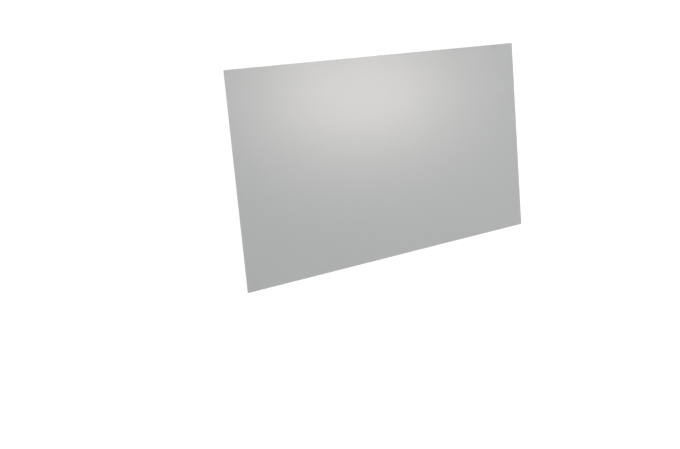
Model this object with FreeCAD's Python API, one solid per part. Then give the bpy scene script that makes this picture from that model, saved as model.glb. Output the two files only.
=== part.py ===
import FreeCAD, Part
import os

# Anti-glare monitor filter: one bare sheet of stiff, translucent grey film, die-cut as a 16:9 rectangle.
# X runs along the long edges, Y up the short edges, and Z out of the matte front face.
# The origin is the middle of the smooth back face, which is the face that the sheet lies on.

# Driving dimensions, in millimetres
SHEET_WIDTH = 531.0
SHEET_HEIGHT = 299.0
SHEET_THICKNESS = 0.5
CORNER_RADIUS = 1.0
FRONT_RIM_ROUNDING = 0.1

OUT_OF_FRONT = FreeCAD.Vector(0, 0, 1)


def cut_line():
    """The outline on the back face: a quarter circle at each corner, joined by straight edges."""
    centre_x = SHEET_WIDTH / 2 - CORNER_RADIUS
    centre_y = SHEET_HEIGHT / 2 - CORNER_RADIUS
    corner_sides = [(1, 1), (-1, 1), (-1, -1), (1, -1)]
    corners = []
    for turn, (side_x, side_y) in enumerate(corner_sides):
        centre = FreeCAD.Vector(side_x * centre_x, side_y * centre_y, 0)
        corners.append(Part.makeCircle(CORNER_RADIUS, centre, OUT_OF_FRONT, 90 * turn, 90 * (turn + 1)))
    edges = []
    for corner, next_corner in zip(corners, corners[1:] + corners[:1]):
        edges.append(corner)
        edges.append(Part.makeLine(corner.lastVertex().Point, next_corner.firstVertex().Point))
    return Part.Wire(edges)


def filter_sheet():
    """The sheet: the cut line carried through the film, with the front rim rounded over by the knife."""
    blank = Part.Face(cut_line()).extrude(OUT_OF_FRONT * SHEET_THICKNESS)
    front_face = max(blank.Faces, key=lambda face: face.CenterOfMass.z)
    return blank.makeFillet(FRONT_RIM_ROUNDING, front_face.Edges)


os.makedirs("parts", exist_ok=True)
filter_sheet().exportStep("parts/filter_sheet.step")
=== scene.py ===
import math

import bpy
import numpy as np
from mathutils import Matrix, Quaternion, Vector

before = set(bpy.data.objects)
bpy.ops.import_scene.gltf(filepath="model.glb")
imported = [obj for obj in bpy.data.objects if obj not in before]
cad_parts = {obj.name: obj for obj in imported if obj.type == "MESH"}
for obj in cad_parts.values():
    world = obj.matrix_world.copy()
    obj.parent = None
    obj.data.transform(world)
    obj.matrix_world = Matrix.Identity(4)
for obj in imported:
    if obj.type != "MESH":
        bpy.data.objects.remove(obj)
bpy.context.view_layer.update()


# Filter sheet
# One stiff sheet of grey-tinted polyester film, die-cut from the roll. Its front has a matte anti-glare
# hard coat and its back is left smooth. Nothing is fixed to it: it lies loose on its back face.

FILM_COVER = 0.288  # share of the light that each face of the film stops
FILM_IOR = 1.6
FILM_SHINE = 1.0
FILM_TINT = (0.071, 0.096, 0.108)
FILM_TINT_DENSE = (0.061, 0.083, 0.093)
CLOUD_SIZE = 0.045
CLOUD_DETAIL = 1.0
CUT_TINT = (0.030, 0.034, 0.033)
CUT_ROUGHNESS = 0.60
BACK_ROUGHNESS = 0.24
FRONT_ROUGHNESS = 0.30
GRAIN_ROUGHNESS = 0.03  # how far the grain takes the front's roughness up or down
GRAIN_SIZE = 0.0012
GRAIN_DETAIL = 2.0
GRAIN_DEPTH = 0.00002
STEEP_FACING = 0.3  # upward part of the normal, at most this on the cut
FLAT_FACING = 0.7  # and at least this on the front, or the same downward on the back


def share_between(tree, mask, at_none, at_full):
    """A value that goes evenly from at_none to at_full as the mask goes from 0 to 1.

    Each end is a number or another node's output.
    """
    share = tree.nodes.new("ShaderNodeMapRange")
    tree.links.new(mask, share.inputs["Value"])
    for name, end in (("To Min", at_none), ("To Max", at_full)):
        if isinstance(end, float):
            share.inputs[name].default_value = end
        else:
            tree.links.new(end, share.inputs[name])
    return share.outputs["Result"]


def colour_between(tree, mask, at_none, at_full):
    """A colour that goes evenly from at_none to at_full as the mask goes from 0 to 1.

    Each end is a colour or another node's output.
    """
    mix = tree.nodes.new("ShaderNodeMix")
    mix.data_type = "RGBA"
    # The node lists sockets for every type of data, so those for colours are taken by their place
    factor, first, second = mix.inputs[0], mix.inputs[6], mix.inputs[7]
    tree.links.new(mask, factor)
    for socket, end in ((first, at_none), (second, at_full)):
        if isinstance(end, tuple):
            socket.default_value = (*end, 1.0)
        else:
            tree.links.new(end, socket)
    return mix.outputs[2]


def facing_mask(tree, facing, none_at, full_at):
    """A mask that goes evenly from 0 to 1 as facing, a part of the normal, goes from none_at to full_at."""
    mask = tree.nodes.new("ShaderNodeMapRange")
    mask.inputs["From Min"].default_value = none_at
    mask.inputs["From Max"].default_value = full_at
    tree.links.new(facing, mask.inputs["Value"])
    return mask.outputs["Result"]


def unevenness(tree, place, size, detail):
    """Soft random spots about as wide as size, as a value from 0 to 1."""
    spots = tree.nodes.new("ShaderNodeTexNoise")
    spots.inputs["Scale"].default_value = 1.0 / size
    spots.inputs["Detail"].default_value = detail
    tree.links.new(place, spots.inputs["Vector"])
    return spots.outputs["Fac"]


def matte_film():
    """The film's finish: see-through grey all over, with the hard coat and its grain on the front alone."""
    material = bpy.data.materials.new("matte_grey_film")
    material.use_nodes = True
    tree = material.node_tree
    film = tree.nodes["Principled BSDF"]
    film.inputs["IOR"].default_value = FILM_IOR
    film.inputs["Specular IOR Level"].default_value = FILM_SHINE
    film.inputs["Coat IOR"].default_value = FILM_IOR
    film.inputs["Coat Roughness"].default_value = FRONT_ROUGHNESS
    film.inputs["Alpha"].default_value = FILM_COVER

    # Which of the three kinds of face this is, from how far its normal points up
    place = tree.nodes.new("ShaderNodeTexCoord")
    normal = tree.nodes.new("ShaderNodeSeparateXYZ")
    tree.links.new(place.outputs["Normal"], normal.inputs["Vector"])
    upward = normal.outputs["Z"]
    either_way = tree.nodes.new("ShaderNodeMath")
    either_way.operation = "ABSOLUTE"
    tree.links.new(upward, either_way.inputs[0])
    front = facing_mask(tree, upward, STEEP_FACING, FLAT_FACING)
    back = facing_mask(tree, upward, -STEEP_FACING, -FLAT_FACING)
    cut = facing_mask(tree, either_way.outputs["Value"], FLAT_FACING, STEEP_FACING)

    # Dye that is a little denser in broad clouds, and darker where the cut shows the film's thickness
    clouds = unevenness(tree, place.outputs["Object"], CLOUD_SIZE, CLOUD_DETAIL)
    dye = colour_between(tree, clouds, FILM_TINT, FILM_TINT_DENSE)
    tree.links.new(colour_between(tree, cut, dye, CUT_TINT), film.inputs["Base Color"])

    # Gloss: the coat's grain on the front, the bare film on the back, the knife's rough mark on the cut
    grain = unevenness(tree, place.outputs["Object"], GRAIN_SIZE, GRAIN_DETAIL)
    grainy = share_between(tree, grain, FRONT_ROUGHNESS - GRAIN_ROUGHNESS, FRONT_ROUGHNESS + GRAIN_ROUGHNESS)
    faces = share_between(tree, back, grainy, BACK_ROUGHNESS)
    tree.links.new(share_between(tree, cut, faces, CUT_ROUGHNESS), film.inputs["Roughness"])
    tree.links.new(front, film.inputs["Coat Weight"])

    # The grain's relief, on the front alone
    relief = tree.nodes.new("ShaderNodeBump")
    relief.inputs["Distance"].default_value = GRAIN_DEPTH
    tree.links.new(share_between(tree, front, 0.0, grain), relief.inputs["Height"])
    tree.links.new(relief.outputs["Normal"], film.inputs["Normal"])
    return material


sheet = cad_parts["filter_sheet"]
sheet.data.materials[0] = matte_film()


# Table top
# The plain white table that the sheet was laid on, painted matte. It is one flat plate, far wider than
# the sheet, and a hair below it so that the two faces don't coincide.

TABLE_REACH = 12.0
TABLE_BELOW = 0.0002
TABLE_WHITE = 1.0
TABLE_SHINE = 0.0
TABLE_ROUGHNESS = 1.0

corners = np.array([[-1.0, -1.0], [1.0, -1.0], [1.0, 1.0], [-1.0, 1.0]]) * TABLE_REACH
heights = np.full((len(corners), 1), -TABLE_BELOW)
table_mesh = bpy.data.meshes.new("table_top")
table_mesh.from_pydata(np.hstack([corners, heights]).tolist(), [], [[0, 1, 2, 3]])
table = bpy.data.objects.new("table_top", table_mesh)
bpy.context.scene.collection.objects.link(table)
paint = bpy.data.materials.new("table_paint")
paint.use_nodes = True
matte = paint.node_tree.nodes["Principled BSDF"]
matte.inputs["Base Color"].default_value = (TABLE_WHITE, TABLE_WHITE, TABLE_WHITE, 1.0)
matte.inputs["Specular IOR Level"].default_value = TABLE_SHINE
matte.inputs["Roughness"].default_value = TABLE_ROUGHNESS
table_mesh.materials.append(paint)


# Studio light
# An even white surround does most of the lighting. One softbox is reflected as the pale sheen near the
# sheet's top edge, and a ring of faint soft lamps gives the matte coat some sheen from the other sides.

SURROUND_LIGHT = 0.755
SURROUND_SEEN = 1.0
SHEEN_POINT = Vector((-0.0945, 0.118, 0.0))
SOFTBOX_AZIMUTH = math.radians(85.0)
SOFTBOX_ELEVATION = math.radians(53.3)
SOFTBOX_DISTANCE = 2.0
SOFTBOX_WIDTH = 0.28
SOFTBOX_LENGTH = 0.55
SOFTBOX_RADIANCE = 12.2
SOFTBOX_COLOUR = (1.0, 0.915, 0.84)
RING_LAMPS = 6
RING_START = math.radians(46.0)
RING_ELEVATION = math.radians(28.0)
RING_LAMP_ACROSS = math.radians(22.0)
RING_LAMP_STRENGTH = 0.27


def towards(azimuth, elevation):
    """The way from the sheet to what stands at this azimuth and elevation.

    Azimuth is counted from the sheet's bottom edge round to its right edge.
    """
    level = math.cos(elevation)
    return Vector((math.sin(azimuth) * level, -math.cos(azimuth) * level, math.sin(elevation)))


def add_lamp(name, kind, way):
    """A lamp that shines from the way given and doesn't show in the picture."""
    light = bpy.data.lights.new(name, kind)
    lamp = bpy.data.objects.new(name, light)
    lamp.rotation_mode = "QUATERNION"
    lamp.rotation_quaternion = way.to_track_quat("Z", "Y")
    lamp.visible_camera = False
    bpy.context.scene.collection.objects.link(lamp)
    return lamp, light


# The surround is pure white where it is seen, straight or in a reflection, and a quarter less as a light
world = bpy.data.worlds.new("studio")
bpy.context.scene.world = world
world.use_nodes = True
studio = world.node_tree
surround = studio.nodes["Background"]
surround.inputs["Color"].default_value = (1.0, 1.0, 1.0, 1.0)
rays = studio.nodes.new("ShaderNodeLightPath")
seen = rays.outputs["Is Camera Ray"]
for kind in ("Is Glossy Ray", "Is Transmission Ray"):
    either = studio.nodes.new("ShaderNodeMath")
    either.operation = "MAXIMUM"
    studio.links.new(seen, either.inputs[0])
    studio.links.new(rays.outputs[kind], either.inputs[1])
    seen = either.outputs["Value"]
studio.links.new(share_between(studio, seen, SURROUND_LIGHT, SURROUND_SEEN), surround.inputs["Strength"])

to_softbox = towards(SOFTBOX_AZIMUTH, SOFTBOX_ELEVATION)
softbox, softbox_light = add_lamp("softbox", "AREA", to_softbox)
softbox.location = SHEEN_POINT + to_softbox * SOFTBOX_DISTANCE
softbox_light.shape = "RECTANGLE"
softbox_light.size = SOFTBOX_WIDTH
softbox_light.size_y = SOFTBOX_LENGTH
softbox_light.energy = SOFTBOX_RADIANCE * math.pi * SOFTBOX_WIDTH * SOFTBOX_LENGTH
softbox_light.color = SOFTBOX_COLOUR

for number in range(RING_LAMPS):
    azimuth = RING_START + 2.0 * math.pi * number / RING_LAMPS
    lamp, lamp_light = add_lamp(f"ring_lamp_{number}", "SUN", towards(azimuth, RING_ELEVATION))
    lamp_light.angle = RING_LAMP_ACROSS
    lamp_light.energy = RING_LAMP_STRENGTH


# Camera
# Looks down on the sheet along the photograph's own line of sight to it, with the photograph's lens.
# It is rolled about that line so that the sheet's top edge is up, as it is in the photograph.

CAMERA_AIM = Vector((-0.1038, -0.0838, 0.0))
CAMERA_DISTANCE = 1.330
CAMERA_AZIMUTH = math.radians(-108.01)
CAMERA_ELEVATION = math.radians(53.73)
CAMERA_ROLL = math.radians(99.574)
LENS_LENGTH = 48.906
SENSOR_WIDTH = 36.0

towards_camera = towards(CAMERA_AZIMUTH, CAMERA_ELEVATION)
roll = Quaternion((0.0, 0.0, 1.0), CAMERA_ROLL)
lens = bpy.data.cameras.new("camera")
lens.lens = LENS_LENGTH
lens.sensor_width = SENSOR_WIDTH
camera = bpy.data.objects.new("camera", lens)
camera.location = CAMERA_AIM + towards_camera * CAMERA_DISTANCE
camera.rotation_mode = "QUATERNION"
camera.rotation_quaternion = (-towards_camera).to_track_quat("-Z", "Y") @ roll
bpy.context.scene.collection.objects.link(camera)
bpy.context.scene.camera = camera
bpy.context.scene.view_settings.view_transform = "Standard"
